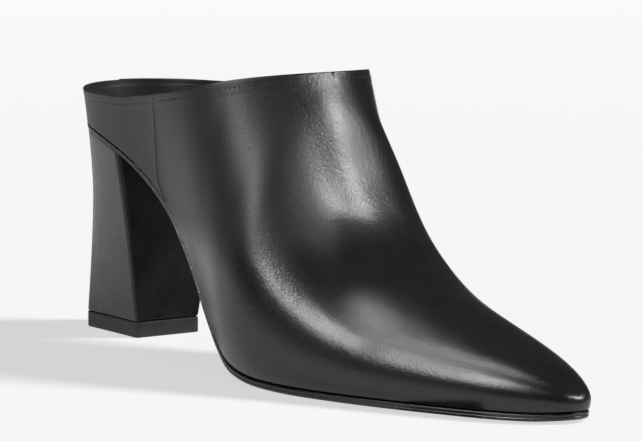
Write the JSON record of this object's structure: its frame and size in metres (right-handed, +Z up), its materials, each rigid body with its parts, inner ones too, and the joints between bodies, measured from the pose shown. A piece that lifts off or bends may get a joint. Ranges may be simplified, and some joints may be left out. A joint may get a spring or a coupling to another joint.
{
  "type": "mule pump",
  "caption": "Backless pointed-toe leather mule with a low closed rim, high instep and a sculpted covered block heel.",
  "frame": {"origin": "middle of the tread of the top piece, on the floor", "axes": "+X to the toe, +Y to the inner side of the foot, +Z up"},
  "size_m": [0.251, 0.0794, 0.0972],
  "materials": {
    "upper": "smooth black, soft gloss",
    "insole": "black lining leather",
    "outsole": "black, matt underside",
    "heel": "smooth black cover",
    "top_piece": "matt black"
  },
  "bodies": {
    "root": {"upper": "upper", "insole": "insole", "outsole": "outsole", "heel": "heel", "top_piece": "top_piece"}
  },
  "joints": []
}
